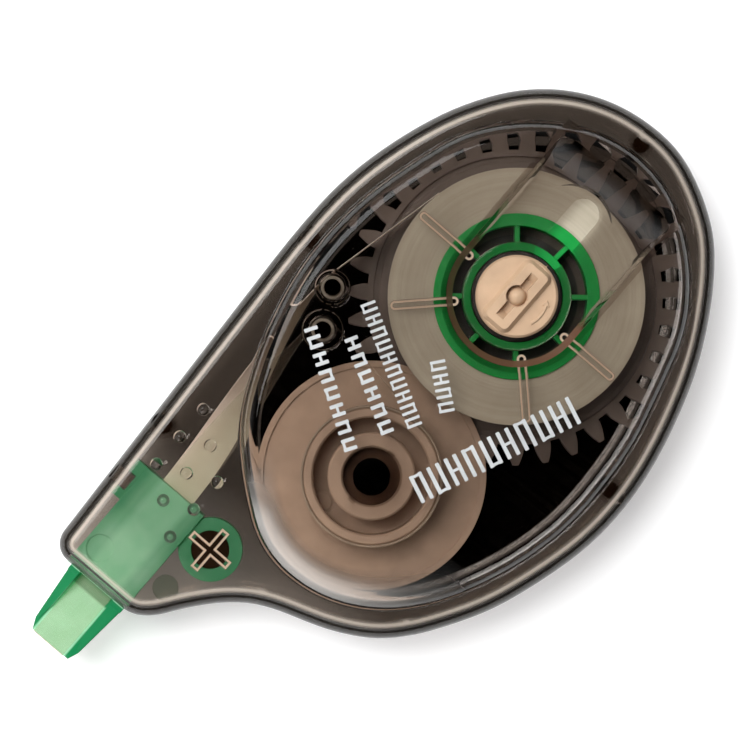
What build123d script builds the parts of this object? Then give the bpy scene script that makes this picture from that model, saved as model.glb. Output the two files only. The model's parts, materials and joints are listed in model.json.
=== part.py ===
from build123d import *
import math
import os

# Correction tape roller: a flat teardrop case of two smoke-tinted shells that holds a supply reel,
# a take-up reel geared to it, two guide sleeves and a green applicator tip.
# Millimetres. The origin is on the supply reel's axis, in the plane of the back face.
# +Z runs through the front cover, and the applicator tip points to -X.

# ---------------------------------------------------------------- driving dimensions
WALL = 1.1

# levels through the thickness, from the back face up
BACK_SHOULDER_Z = 1.4
SEAM_Z = 6.2
FRONT_SHOULDER_Z = 11.0
TOP_Z = 13.4
RECESS_Z = 11.6
RECESS_ROOF_Z = 10.5
PLATEAU_FLOOR_Z = WALL
PLATEAU_ROOF_Z = TOP_Z - WALL
SHOULDER_FLOOR_Z = BACK_SHOULDER_Z + WALL
SHOULDER_ROOF_Z = FRONT_SHOULDER_Z - WALL
EMBED = 0.3

# gear pair
MODULE = 1.0
DRIVE_TEETH = 35
PINION_TEETH = 15
PRESSURE_ANGLE = 20.0
BACKLASH = 0.14
DRIVE_TOOTH_ANGLE = 179.9
GEAR_Z = 2.8
GEAR_THICKNESS = 1.8
GEAR_TOP_Z = GEAR_Z + GEAR_THICKNESS

# reels
TAKE_UP = (-25.1, -0.8)
TAPE_WIDTH = 4.2
TAPE_Z = 5.7
TAPE_TOP_Z = TAPE_Z + TAPE_WIDTH
TAPE_MID_Z = TAPE_Z + TAPE_WIDTH / 2
ROLL_RADIUS = 14.0
CORE_RADIUS = 9.05
CORE_BORE = 5.0
DRUM_RADIUS = 7.5
FILM_RADIUS = 7.75
FLANGE_RADIUS = 12.6
SPINDLE_RADIUS = 2.0
KNOB_RADIUS = 4.5
KNOB_HOLE_RADIUS = 4.75
RUNNING = 0.05

# tape guides
UPPER_GUIDE = (-12.3, 15.8)
LOWER_GUIDE = (-16.5, 13.6)
SLEEVE_RADIUS = 1.27
SLEEVE_BORE = 0.93
STRIP_THICKNESS = 0.12
STRIP_GAP = 0.03

# applicator tip
TIP_X = -62.0
MOUTH_X = -53.7
TIP_MID_Y = 14.1
TIP_MID_Z = 7.2
HEAD_BACK_X = -40.3
RING_CENTRE = (-42.65, 7.3)
RING_RADIUS = 3.5
RING_BORE = 2.1
PLATEN_HALF = 0.55

# round pins that hold the two shells together, clear of the reels
SNAP_PINS = [(-9.8, 20.8), (-9.3, -21.5), (21.4, 0.5), (-35.6, 19.9)]
SNAP_PIN_RADIUS = 0.9

# corners of the case outline: x, y and the heading there in degrees, clockwise from the tip's top
CASE_NODES = [
    (-51.45, 20.77, 3.0),
    (-14.0, 22.74, 3.0),
    (1.0, 21.95, -12.5),
    (15.6, 15.8, -36.0),
    (22.4, 7.2, -68.0),
    (23.8, -0.3, -90.0),
    (20.4, -10.2, -123.5),
    (13.7, -16.4, -147.0),
    (4.1, -21.15, -161.0),
    (-11.0, -24.0, -180.0),
    (-25.3, -21.1, -199.5),
    (-33.7, -16.7, -213.5),
    (-39.2, -11.3, -238.0),
    (-41.7, -6.0, -251.0),
    (-43.5, -1.2, -244.0),
    (-47.0, 3.3, -222.0),
    (-51.0, 6.4, -214.0),
    (-53.7, 10.6, -270.0),
    (-53.7, 18.4, -270.0),
]
# the raised middle of each shell, which follows the two reels
PLATEAU_NODES = [
    (-39.0, -0.8, 90.0),
    (-32.3, 11.6, 47.0),
    (-22.1, 17.5, 19.0),
    (-10.0, 19.9, 2.0),
    (0.5, 18.8, -14.0),
    (12.4, 13.9, -39.0),
    (20.0, -0.3, -90.0),
    (12.4, -14.1, -142.0),
    (-0.9, -19.4, -165.0),
    (-12.0, -20.7, -180.0),
    (-22.8, -18.8, -199.0),
    (-33.7, -12.7, -223.0),
]


# ---------------------------------------------------------------- outline helpers
def direction(degrees):
    return Vector(math.cos(math.radians(degrees)), math.sin(math.radians(degrees)))


def polar(radius, degrees):
    return direction(degrees) * radius


def tangent_pair(start, end):
    """Two arcs that leave start and reach end along their headings, or one line if both agree."""
    p, q = Vector(*start[:2]), Vector(*end[:2])
    t, u = direction(start[2]), direction(end[2])
    chord = q - p
    straight = 1 - t.dot(u)
    if straight < 1e-9:
        return [Line(p, q)]
    along = chord.dot(t + u)
    reach = (math.sqrt(along**2 + 2 * straight * chord.dot(chord)) - along) / (2 * straight)
    joint = (p + q + (t - u) * reach) / 2
    first = TangentArc(p, joint, tangent=t)
    return [first, TangentArc(joint, q, tangent=first % 1)]


def smooth_face(nodes):
    """A closed face whose edge is tangent arcs through the nodes."""
    edges = []
    for start, end in zip(nodes, nodes[1:] + nodes[:1]):
        edges += tangent_pair(start, end)
    return make_face(Wire(edges))


def slab(face, low, high):
    return extrude(Pos(0, 0, low) * face, amount=high - low, dir=(0, 0, 1))


def disc(radius, centre, low, high):
    return Pos(centre[0], centre[1], low) * Cylinder(
        radius, high - low, align=(Align.CENTER, Align.CENTER, Align.MIN)
    )


def tube(outer, inner, centre, low, high):
    return disc(outer, centre, low, high) - disc(inner, centre, low - 1, high + 1)


def block(x0, x1, y0, y1, z0, z1):
    return Pos(x0, y0, z0) * Box(
        x1 - x0, y1 - y0, z1 - z0, align=(Align.MIN, Align.MIN, Align.MIN)
    )


def fillet_level(solid, top, radius):
    """Rounds every edge of the highest or the lowest level."""
    levels = solid.edges().group_by(Axis.Z)
    return fillet(levels[-1] if top else levels[0], radius)


# ---------------------------------------------------------------- shells
CASE_RIM_ROUND = 2.1
CAVITY_ROUND = 0.5
FRONT_PLATEAU_ROUND = 1.9
BACK_PLATEAU_ROUND = 0.8
PLATEAU_FOOT_ROUND = 0.35

case_face = smooth_face(CASE_NODES)
case_cavity_face = offset(case_face, amount=-WALL)
plateau_face = smooth_face(PLATEAU_NODES)
plateau_cavity_face = offset(plateau_face, amount=-WALL)


def round_plateau_foot(shell, level):
    """Softens the inside corner where the plateau rises from the shoulder."""
    foot = [
        edge
        for edge in shell.edges()
        if abs(edge.center().Z - level) < 0.01 and edge.bounding_box().size.Z < 0.01
    ]
    return fillet(foot, PLATEAU_FOOT_ROUND)


# thumb recess of the front cover: a round bay about the knob that runs out to the rim
RECESS_FLOOR_RADIUS = 7.0
RECESS_TOP_RADIUS = 7.8
RECESS_BACK_RADIUS = 8.3
RECESS_END_X = 18.2
RAMP_START_X = 11.0
RAMP_OVERRUN = 0.12
RECESS_MID_Y = 0.3
DISH_CENTRE = (9.0, 0.6)
DISH_FLOOR_RADIUS = 4.8
DISH_TOP_RADIUS = 5.9


def recess_side_face():
    """Side view of the recess: a flat floor, then an S-curved ramp that runs out at the top."""
    foot = Vector(RAMP_START_X, RECESS_Z)
    crest = Vector(RECESS_END_X, TOP_Z + RAMP_OVERRUN)
    half_way = (foot + crest) / 2
    rise = TangentArc(foot, half_way, tangent=(1, 0))
    ease = TangentArc(half_way, crest, tangent=rise % 1)
    lid = Polyline(
        crest,
        (RECESS_END_X, TOP_Z + 2),
        (-2 * RECESS_BACK_RADIUS, TOP_Z + 2),
        (-2 * RECESS_BACK_RADIUS, RECESS_Z),
        foot,
    )
    return make_face(Wire([rise, ease, *lid.edges()]))


def recess_cut():
    """What the recess takes away: flared walls over the ramp, and a round dish at the slot's end."""
    walls = loft(
        [
            Pos(0, 0, RECESS_Z) * make_face(bay_outline(RECESS_FLOOR_RADIUS)),
            Pos(0, 0, TOP_Z + EMBED) * make_face(bay_outline(RECESS_TOP_RADIUS)),
        ],
        ruled=True,
    )
    side = extrude(Plane.XZ * recess_side_face(), amount=20, both=True)
    depth = TOP_Z + EMBED - RECESS_Z
    dish = Pos(DISH_CENTRE[0], DISH_CENTRE[1], RECESS_Z) * Cone(
        DISH_FLOOR_RADIUS, DISH_TOP_RADIUS, depth, align=(Align.CENTER, Align.CENTER, Align.MIN)
    )
    return (walls & side) + dish


def bay_outline(radius):
    """The recess's edge: a half circle about the hub and three straight sides."""
    top = Vector(0, radius)
    left = Vector(-radius, 0)
    bottom = Vector(0, -radius)
    far_top = Vector(RECESS_END_X, radius)
    far_bottom = Vector(RECESS_END_X, -radius)
    return Wire(
        [
            ThreePointArc(top, left, bottom),
            Line(bottom, far_bottom),
            Line(far_bottom, far_top),
            Line(far_top, top),
        ]
    )


WINDOW_START_X = 4.0
WINDOW_END_X = 13.2
WINDOW_WIDTH = 3.4
LIP_RADIUS = 5.9
LIP_Z = 12.4
LIP_ROUND = 0.25
PRESSER_ANGLES = (90, 135, 225, 270)
PRESSER_START = 6.3
PRESSER_END = 13.8
PRESSER_WIDTH = 1.05
PRESSER_Z = 10.2
RIB_WALL = 0.3
RIB_ROUND = 0.12
DOT_ROWS = 3
DOT_COLUMNS = 3
DOT_START = (-39.3, 17.8)
DOT_PITCH = (3.9, -3.15)
DOT_ROW_SHIFT = -2.5
DOT_RADIUS = 0.7
DOT_HEIGHT = 0.62
MOUTH = (10.05, 18.5, 5.05, 9.35)
CROSS_LENGTH = 5.4
CROSS_WIDTH = 1.05
CROSS_Z = 8.95
SOCKET_RADIUS = 1.45
SOCKET_FOOT_Z = 8.2
SOCKET_HEADROOM = 0.2
PIN_TIP_GAP = 0.4
HEAD_KEY = (-43.75, -41.95, 18.75, 20.9)
HEAD_PAD = (-48.9, 8.3)
HEAD_PAD_RADIUS = 1.4
HEAD_PAD_Z = 8.8
SEAM_GAP = 0.1
UPPER_COLLAR_RADIUS = 2.0
LOWER_COLLAR_RADIUS = 2.3
COLLAR_BORE = 1.4
COLLAR_ROUND = 0.22
WEB_HALF_SPACING = 0.45
WEB_HALF_WIDTH = 0.15
BOSS_RADIUS = 3.05
BOSS_FOOT_Z = 8.4
BOSS_RIB = (2.9, 3.5, 0.4)


def shell_half(shoulder_z, plateau_z, cavity_shoulder_z, cavity_plateau_z):
    """One hollow half of the case, between the seam and its outer plateau face."""
    top = plateau_z > SEAM_Z
    low, high = sorted((SEAM_Z, shoulder_z))
    rim = fillet_level(slab(case_face, low, high), top, CASE_RIM_ROUND)
    into_rim = shoulder_z - EMBED if top else shoulder_z + EMBED
    low, high = sorted((into_rim, plateau_z))
    plateau_round = FRONT_PLATEAU_ROUND if top else BACK_PLATEAU_ROUND
    plateau = fillet_level(slab(plateau_face, low, high), top, plateau_round)
    shell = round_plateau_foot(rim + plateau, shoulder_z)
    past_seam = SEAM_Z - 1 if top else SEAM_Z + 1
    low, high = sorted((past_seam, cavity_shoulder_z))
    hollow = fillet_level(slab(case_cavity_face, low, high), top, CAVITY_ROUND)
    low, high = sorted((past_seam, cavity_plateau_z))
    return shell - hollow - slab(plateau_cavity_face, low, high)


def window_cut():
    """Slot from the knob's hole outwards, which bares the tape roll."""
    length = WINDOW_END_X - WINDOW_START_X
    face = Pos(WINDOW_START_X + length / 2, RECESS_MID_Y) * SlotOverall(length, WINDOW_WIDTH)
    return slab(face, RECESS_ROOF_Z - 1, TOP_Z)


def presser_ribs():
    """Radial ribs under the roof that keep the tape roll from climbing, each a thin closed loop."""
    length = PRESSER_END - PRESSER_START
    inner = SlotOverall(length - 2 * RIB_WALL, PRESSER_WIDTH - 2 * RIB_WALL)
    plan = Pos(PRESSER_START + length / 2, 0) * (SlotOverall(length, PRESSER_WIDTH) - inner)
    rib = fillet_level(slab(plan, PRESSER_Z, PLATEAU_ROOF_Z + EMBED), False, RIB_ROUND)
    return [Rot(0, 0, angle) * rib for angle in PRESSER_ANGLES]


def grip_dots():
    """Staggered raised dots over the tip end of the front cover."""
    ball_radius = (DOT_RADIUS**2 + DOT_HEIGHT**2) / (2 * DOT_HEIGHT)
    crown = FRONT_SHOULDER_Z + DOT_HEIGHT
    cap = Pos(0, 0, crown - ball_radius) * Sphere(ball_radius)
    cap &= block(-2, 2, -2, 2, FRONT_SHOULDER_Z - EMBED, crown + 1)
    return [
        Pos(
            DOT_START[0] + column * DOT_PITCH[0] + row * DOT_ROW_SHIFT,
            DOT_START[1] + row * DOT_PITCH[1],
        )
        * cap
        for row in range(DOT_ROWS)
        for column in range(DOT_COLUMNS)
    ]


def guide_bosses():
    """Ring walls round the ends of the two guide posts, with a pair of short webs between them."""
    top = PLATEAU_ROOF_Z + EMBED
    upper = tube(UPPER_COLLAR_RADIUS, COLLAR_BORE, UPPER_GUIDE, PRESSER_Z, top)
    lower = tube(LOWER_COLLAR_RADIUS, COLLAR_BORE, LOWER_GUIDE, PRESSER_Z, top)
    upper, lower = (fillet_level(collar, False, COLLAR_ROUND) for collar in (upper, lower))
    between = Vector(*UPPER_GUIDE) - Vector(*LOWER_GUIDE)
    heading = math.degrees(math.atan2(between.Y, between.X))
    start = LOWER_COLLAR_RADIUS - EMBED
    end = between.length - UPPER_COLLAR_RADIUS + EMBED
    webs = [
        Pos(LOWER_GUIDE[0], LOWER_GUIDE[1], 0)
        * Rot(0, 0, heading)
        * block(start, end, side - WEB_HALF_WIDTH, side + WEB_HALF_WIDTH, PRESSER_Z, top)
        for side in (-WEB_HALF_SPACING, WEB_HALF_SPACING)
    ]
    return [upper, lower] + webs


def take_up_boss():
    """Tube that steadies the take-up reel's hub, with two small ribs."""
    top = PLATEAU_ROOF_Z + EMBED
    start, end, half = BOSS_RIB
    ribs = [
        Pos(TAKE_UP[0], TAKE_UP[1], 0)
        * Rot(0, 0, angle)
        * block(start, end, -half, half, PRESSER_Z, top)
        for angle in (0, 180)
    ]
    return [tube(BOSS_RADIUS, SPINDLE_RADIUS + RUNNING, TAKE_UP, BOSS_FOOT_Z, top)] + ribs


def cross_face(length, width):
    return Rectangle(length, width) + Rectangle(width, length)


def head_cross():
    """Hollow cross rib that holds the applicator's ring down."""
    inner = cross_face(CROSS_LENGTH - 2 * RIB_WALL, CROSS_WIDTH - 2 * RIB_WALL)
    plan = Pos(RING_CENTRE[0], RING_CENTRE[1]) * (cross_face(CROSS_LENGTH, CROSS_WIDTH) - inner)
    cross = slab(plan, CROSS_Z, SHOULDER_ROOF_Z + EMBED)
    return [fillet_level(cross, False, RIB_ROUND)]


def mouth_cut():
    """Opening at the tip end that the applicator comes out of."""
    y0, y1, z0, z1 = MOUTH
    return block(MOUTH_X - 1, MOUTH_X + WALL + CAVITY_ROUND + 0.1, y0, y1, z0, z1)


def front_cover():
    """Upper shell with the thumb recess, the open slot and everything that hangs from its roof."""
    cover = shell_half(FRONT_SHOULDER_Z, TOP_Z, SHOULDER_ROOF_Z, PLATEAU_ROOF_Z)
    bay = make_face(bay_outline(RECESS_BACK_RADIUS))
    cover += slab(bay, RECESS_ROOF_Z, PLATEAU_ROOF_Z + EMBED)
    for piece in presser_ribs() + guide_bosses() + take_up_boss() + head_cross():
        cover += piece
    cover -= recess_cut()
    cover += fillet_level(disc(LIP_RADIUS, (0, 0), RECESS_Z - EMBED, LIP_Z), True, LIP_ROUND)
    cover -= disc(KNOB_HOLE_RADIUS, (0, 0), RECESS_ROOF_Z - 1, TOP_Z)
    cover -= window_cut()
    for pin in SNAP_PINS:
        cover += disc(SOCKET_RADIUS, pin, SOCKET_FOOT_Z, SHOULDER_ROOF_Z + EMBED)
        cover -= disc(SNAP_PIN_RADIUS + RUNNING, pin, SEAM_Z, SHOULDER_ROOF_Z - SOCKET_HEADROOM)
    cover += disc(HEAD_PAD_RADIUS, HEAD_PAD, HEAD_PAD_Z, SHOULDER_ROOF_Z + EMBED)
    x0, x1, y0, y1 = HEAD_KEY
    cover += block(x0, x1, y0, y1, SEAM_Z + SEAM_GAP, SHOULDER_ROOF_Z + EMBED)
    for dot in grip_dots():
        cover += dot
    return cover - mouth_cut()


LABEL_INSET = 1.8
LABEL_THICKNESS = 0.12
GUIDE_POST_RADIUS = 0.88
GUIDE_SEAT_RADIUS = 1.35
GUIDE_POST_TOP_Z = 11.8
SLEEVE_Z = 5.3
SLEEVE_TOP_Z = 10.05
GEAR_SPINDLE_TOP_Z = 6.4
TAKE_UP_SPINDLE_TOP_Z = 11.6
THRUST_PAD_RADIUS = 3.4
THRUST_GAP = 0.15
HEAD_POST_TOP_Z = 8.8
HEAD_SEAT_RADIUS = 2.75
HEAD_SEAT_TOP_Z = 5.5
HEAD_BED = (-51.8, -45.6, 12.4, 15.8)
HEAD_BED_TOP_Z = 4.9


def back_cover():
    """Lower shell with the spindles, guide posts, applicator seat and snap pins."""
    cover = shell_half(BACK_SHOULDER_Z, 0.0, SHOULDER_FLOOR_Z, PLATEAU_FLOOR_Z)
    floor = PLATEAU_FLOOR_Z - EMBED
    rim_floor = SHOULDER_FLOOR_Z - EMBED
    for axis, spindle_top in (((0, 0), GEAR_SPINDLE_TOP_Z), (TAKE_UP, TAKE_UP_SPINDLE_TOP_Z)):
        cover += disc(SPINDLE_RADIUS, axis, floor, spindle_top)
        cover += disc(THRUST_PAD_RADIUS, axis, floor, GEAR_Z - THRUST_GAP)
    for guide in (UPPER_GUIDE, LOWER_GUIDE):
        cover += disc(GUIDE_SEAT_RADIUS, guide, floor, SLEEVE_Z - RUNNING)
        cover += disc(GUIDE_POST_RADIUS, guide, floor, GUIDE_POST_TOP_Z)
    cover += disc(RING_BORE - RUNNING, RING_CENTRE, rim_floor, HEAD_POST_TOP_Z)
    cover += disc(HEAD_SEAT_RADIUS, RING_CENTRE, rim_floor, HEAD_SEAT_TOP_Z)
    for pin in SNAP_PINS:
        cover += disc(SNAP_PIN_RADIUS, pin, rim_floor, SHOULDER_ROOF_Z - PIN_TIP_GAP)
    x0, x1, y0, y1 = HEAD_BED
    cover += block(x0, x1, y0, y1, rim_floor, HEAD_BED_TOP_Z)
    cover -= slab(offset(plateau_face, amount=-LABEL_INSET), -1, LABEL_THICKNESS)
    return cover - mouth_cut()


def back_label():
    """Thin black label let into the back face."""
    return slab(offset(plateau_face, amount=-LABEL_INSET - RUNNING), 0, LABEL_THICKNESS)


# ---------------------------------------------------------------- gears
def involute_face(teeth, phase):
    """Spur gear outline with one tooth centred at phase degrees."""
    pitch_radius = MODULE * teeth / 2
    base_radius = pitch_radius * math.cos(math.radians(PRESSURE_ANGLE))
    tip_radius = pitch_radius + MODULE
    root_radius = pitch_radius - 1.25 * MODULE
    pressure = math.radians(PRESSURE_ANGLE)
    half_at_pitch = (math.pi * MODULE / 2 - BACKLASH) / (2 * pitch_radius)
    half_at_base = half_at_pitch + math.tan(pressure) - pressure

    def flank(radius):
        """Half the tooth's angle at a radius."""
        roll = math.acos(min(1.0, base_radius / radius))
        return math.degrees(half_at_base - (math.tan(roll) - roll))

    start = max(base_radius, root_radius)
    steps = [start + (tip_radius - start) * k / 4 for k in range(5)]
    edges = []
    pitch_angle = 360 / teeth
    root_half = flank(start)
    for tooth in range(teeth):
        centre = phase + tooth * pitch_angle
        rise = [polar(r, centre - flank(r)) for r in steps]
        fall = [polar(r, centre + flank(r)) for r in reversed(steps)]
        foot_in = polar(root_radius, centre - root_half)
        foot_out = polar(root_radius, centre + root_half)
        next_foot = polar(root_radius, centre + pitch_angle - root_half)
        gap_mid = polar(root_radius, centre + pitch_angle / 2)
        if (rise[0] - foot_in).length > 1e-6:
            edges.append(Line(foot_in, rise[0]))
            edges_down = [Line(fall[-1], foot_out)]
        else:
            edges_down = []
        edges.append(Spline(rise))
        edges.append(ThreePointArc(rise[-1], polar(tip_radius, centre), fall[0]))
        edges.append(Spline(fall))
        edges += edges_down
        edges.append(ThreePointArc(foot_out, gap_mid, next_foot))
    return make_face(Wire(edges))


TAKE_UP_BEARING = math.degrees(math.atan2(TAKE_UP[1], TAKE_UP[0])) % 360
PINION_GAP_ANGLE = (
    TAKE_UP_BEARING + 180 - (DRIVE_TOOTH_ANGLE - TAKE_UP_BEARING) * DRIVE_TEETH / PINION_TEETH
)
PINION_TOOTH_ANGLE = PINION_GAP_ANGLE + 180 / PINION_TEETH
RAISED_WEB_RADIUS = 12.0
RAISED_WEB_Z = 5.3
BOSS_TOP_Z = 10.0
CLUTCH_GROOVE_RADIUS = 3.95
CLUTCH_GROOVE_Z = (7.1, 8.15)
CLUTCH_GROOVE_OUTER = CORE_BORE + 0.5
FACE_GROOVE = (15.55, 14.95, 0.35)
HUB_FIT = 0.07
SPINDLE_BORE_TOP_Z = 6.6
KEY_FLATS = 2.5
KEY_SOCKET_Z = 7.0
KEY_END_Z = 7.1


def drive_gear():
    """Large gear whose hub carries the supply core and takes the knob's key."""
    gear = slab(involute_face(DRIVE_TEETH, DRIVE_TOOTH_ANGLE), GEAR_Z, GEAR_TOP_Z)
    groove_outer, groove_inner, groove_depth = FACE_GROOVE
    gear -= tube(groove_outer, groove_inner, (0, 0), GEAR_TOP_Z - groove_depth, GEAR_TOP_Z + 1)
    gear += disc(RAISED_WEB_RADIUS, (0, 0), GEAR_Z, RAISED_WEB_Z)
    gear += disc(CORE_BORE - HUB_FIT, (0, 0), GEAR_Z, BOSS_TOP_Z)
    gear -= tube(CLUTCH_GROOVE_OUTER, CLUTCH_GROOVE_RADIUS, (0, 0), *CLUTCH_GROOVE_Z)
    gear -= disc(SPINDLE_RADIUS + RUNNING, (0, 0), 0, SPINDLE_BORE_TOP_Z)
    socket = RegularPolygon(KEY_FLATS + RUNNING, 6, major_radius=False)
    return gear - slab(socket, KEY_SOCKET_Z, BOSS_TOP_Z + 1)


CLUTCH_CORD_RADIUS = 0.5
CLUTCH_FIT = 0.03


def clutch_ring():
    """Rubber ring that lets the core slip on the gear's hub when the tape is pulled taut."""
    centre_radius = CORE_BORE - CLUTCH_FIT - CLUTCH_CORD_RADIUS
    middle = (CLUTCH_GROOVE_Z[0] + CLUTCH_GROOVE_Z[1]) / 2
    return Pos(0, 0, middle) * Torus(centre_radius, CLUTCH_CORD_RADIUS)


CORE_Z = 5.35
CORE_TOP_Z = 10.1
SPOKE_COUNT = 8
SPOKE_START_ANGLE = -5
SPOKE_WIDTH = 0.55
CORE_RIM = 1.35
CORE_INNER_RIM = 0.9
SPOKE_EMBED = 0.5
WIND_FIT = 0.01


def supply_core():
    """Spoked spool that the fresh tape is wound on."""
    rim = tube(CORE_RADIUS, CORE_RADIUS - CORE_RIM, (0, 0), CORE_Z, CORE_TOP_Z)
    inner = tube(CORE_BORE + CORE_INNER_RIM, CORE_BORE, (0, 0), CORE_Z, CORE_TOP_Z)
    core = rim + inner
    for k in range(SPOKE_COUNT):
        spoke = block(
            CORE_BORE + CORE_INNER_RIM - SPOKE_EMBED,
            CORE_RADIUS - CORE_RIM + SPOKE_EMBED,
            -SPOKE_WIDTH / 2,
            SPOKE_WIDTH / 2,
            CORE_Z + EMBED,
            CORE_TOP_Z - EMBED,
        )
        core += Rot(0, 0, SPOKE_START_ANGLE + k * 360 / SPOKE_COUNT) * spoke
    return core


def supply_tape_roll():
    """Fresh tape wound on the core."""
    return tube(ROLL_RADIUS, CORE_RADIUS + WIND_FIT, (0, 0), TAPE_Z, TAPE_TOP_Z)


KNOB_Z = 10.05
KNOB_FACE_Z = 11.7
KNOB_BAR_Z = 12.5
KNOB_BAR = (8.3, 3.8)
KNOB_SLOT = (6.2, 1.0)
KNOB_CHAMFER = 0.25
KNOB_BAR_TAPER = 0.9
DIMPLE_RADIUS = 1.2
DIMPLE_BALL_RADIUS = 1.05
ARROW_RADIUS = 3.3
ARROW_HALF_WIDTH = 0.14
ARROW_HEAD_HALF = 0.4
ARROW_ANGLES = (-112, -68, -57)
ARROW_RISE = 0.15


def turn_arrow():
    """Raised curved arrow on the knob's lower flat."""
    low, high = KNOB_FACE_Z - EMBED, KNOB_FACE_Z + ARROW_RISE
    start, neck, point = ARROW_ANGLES
    arc = tube(
        ARROW_RADIUS + ARROW_HALF_WIDTH, ARROW_RADIUS - ARROW_HALF_WIDTH, (0, 0), low, high
    )
    far = 2 * KNOB_RADIUS
    middle = (start + neck) / 2
    wedge = Polyline((0, 0), polar(far, start), polar(far, middle), polar(far, neck), close=True)
    head = Polyline(
        polar(ARROW_RADIUS - ARROW_HEAD_HALF, neck),
        polar(ARROW_RADIUS + ARROW_HEAD_HALF, neck),
        polar(ARROW_RADIUS, point),
        close=True,
    )
    return (arc & slab(make_face(wedge), low, high)) + slab(make_face(head), low, high)


def tension_knob():
    """Dial that is turned with a coin or pen to take up slack tape."""
    dial = disc(KNOB_RADIUS, (0, 0), KNOB_Z, KNOB_FACE_Z)
    dial = chamfer(dial.edges().group_by(Axis.Z)[-1], KNOB_CHAMFER)
    length, width = KNOB_BAR
    foot = RectangleRounded(length, width, 0.9)
    crest = RectangleRounded(length - KNOB_BAR_TAPER, width - KNOB_BAR_TAPER, 0.5)
    bar = loft([Pos(0, 0, KNOB_FACE_Z - 0.1) * foot, Pos(0, 0, KNOB_BAR_Z) * crest], ruled=True)
    bar &= disc(KNOB_RADIUS - KNOB_CHAMFER, (0, 0), KNOB_Z, KNOB_BAR_Z + 1)
    knob = dial + bar + turn_arrow()
    slot_top = Rectangle(KNOB_SLOT[0], KNOB_SLOT[1])
    slot_foot = Rectangle(KNOB_SLOT[0] - 2.0, KNOB_SLOT[1] - 0.1)
    knob -= loft(
        [Pos(0, 0, KNOB_FACE_Z - 0.2) * slot_foot, Pos(0, 0, KNOB_BAR_Z + 0.2) * slot_top], ruled=True
    )
    knob -= disc(DIMPLE_RADIUS, (0, 0), KNOB_FACE_Z - 0.2, KNOB_BAR_Z + 1)
    ball = Pos(0, 0, KNOB_FACE_Z - 0.35) * Sphere(DIMPLE_BALL_RADIUS)
    knob += ball & block(-2, 2, -2, 2, KNOB_FACE_Z - 0.4, KNOB_BAR_Z)
    back, tip = KNOB_RADIUS - 0.4, KNOB_RADIUS + 0.18
    pointer = Rot(0, 0, -4) * make_face(Polyline((back, 0.3), (tip, 0), (back, -0.3), close=True))
    knob += slab(pointer, KNOB_FACE_Z - 0.6, KNOB_FACE_Z - KNOB_CHAMFER)
    key = RegularPolygon(KEY_FLATS, 6, major_radius=False)
    return knob + slab(key, KEY_END_Z, KNOB_Z + EMBED)


FLANGE_Z = 4.8
FLANGE_TOP_Z = 5.25
FLANGE_BEAD = (0.7, 0.25)
DRUM_WALL = 1.1
HUB_RADIUS = 4.8
HUB_BORE = 3.15
HUB_TOP_Z = 9.8
STUB_RADIUS = 3.6
STUB_TOP_Z = 8.0
REEL_CHAMFER = 0.2
EJECTOR_MARK = (-30.8, 1.4)
PINION_OVERHANG = 0.15


def take_up_reel():
    """Flanged drum that winds in the spent film."""
    bead_width, bead_height = FLANGE_BEAD
    reel = disc(FLANGE_RADIUS, TAKE_UP, FLANGE_Z, FLANGE_TOP_Z)
    reel += tube(
        FLANGE_RADIUS, FLANGE_RADIUS - bead_width, TAKE_UP, FLANGE_Z, FLANGE_TOP_Z + bead_height
    )
    drum = tube(DRUM_RADIUS, DRUM_RADIUS - DRUM_WALL, TAKE_UP, FLANGE_Z, TAPE_TOP_Z)
    reel += chamfer(drum.edges().group_by(Axis.Z)[-1], REEL_CHAMFER)
    hub = tube(HUB_RADIUS, HUB_BORE, TAKE_UP, FLANGE_Z, HUB_TOP_Z)
    reel += chamfer(hub.edges().group_by(Axis.Z)[-1], REEL_CHAMFER)
    reel += disc(STUB_RADIUS, TAKE_UP, GEAR_Z, STUB_TOP_Z)
    reel -= tube(1.3, 1.0, EJECTOR_MARK, FLANGE_TOP_Z - 0.2, FLANGE_TOP_Z + 1)
    return reel - disc(SPINDLE_RADIUS + RUNNING, TAKE_UP, 0, TOP_Z)


def take_up_gear():
    """Pinion pressed on the take-up reel's stub."""
    pinion_face = involute_face(PINION_TEETH, PINION_TOOTH_ANGLE)
    gear = slab(pinion_face, GEAR_Z, GEAR_TOP_Z + PINION_OVERHANG)
    gear -= disc(STUB_RADIUS, (0, 0), 0, TOP_Z)
    return Pos(TAKE_UP[0], TAKE_UP[1], 0) * gear


def take_up_film_roll():
    """Spent film wound on the drum."""
    return tube(FILM_RADIUS, DRUM_RADIUS + WIND_FIT, TAKE_UP, TAPE_Z, TAPE_TOP_Z)


def guide_sleeve(centre):
    """Thin free-turning sleeve that the tape bends round."""
    sleeve = tube(SLEEVE_RADIUS, SLEEVE_BORE, centre, SLEEVE_Z, SLEEVE_TOP_Z)
    return chamfer(sleeve.edges().group_by(Axis.Z)[-1], 0.08)


# ---------------------------------------------------------------- applicator
HEAD_Y = (10.2, 18.35)
HEAD_Z = (5.2, 9.2)
CHANNEL_HALF = 2.35
HEAD_SKIN = 0.8
EAR_START_X = -44.9
EAR_END_Y = 19.5
EAR_INSET = 0.4
KEY_CLEARANCE = 0.1
RING_Z = (5.6, 8.8)
COLLAR_START_X = MOUTH_X - 0.65
COLLARS_Y = ((10.25, 11.75), (16.45, 17.75))
HEAD_MARK = (-50.3, 16.5)
HEAD_MARK_RADIUS = 1.5
HEAD_MARK_DEPTH = 0.12
BLADE_EDGE_HALF = 0.25
BLADE_ROOT_X = MOUTH_X + 0.5
BLADE_SLIM_X = TIP_X + 2.4
BLADE_SLIM_HALF = PLATEN_HALF - 0.08
GUIDE_START_X = -54.2
GUIDE_END_X = -60.7
GUIDE_HALF_HEIGHT = 2.0
GUIDE_END_HALF_HEIGHT = 0.35


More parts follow.
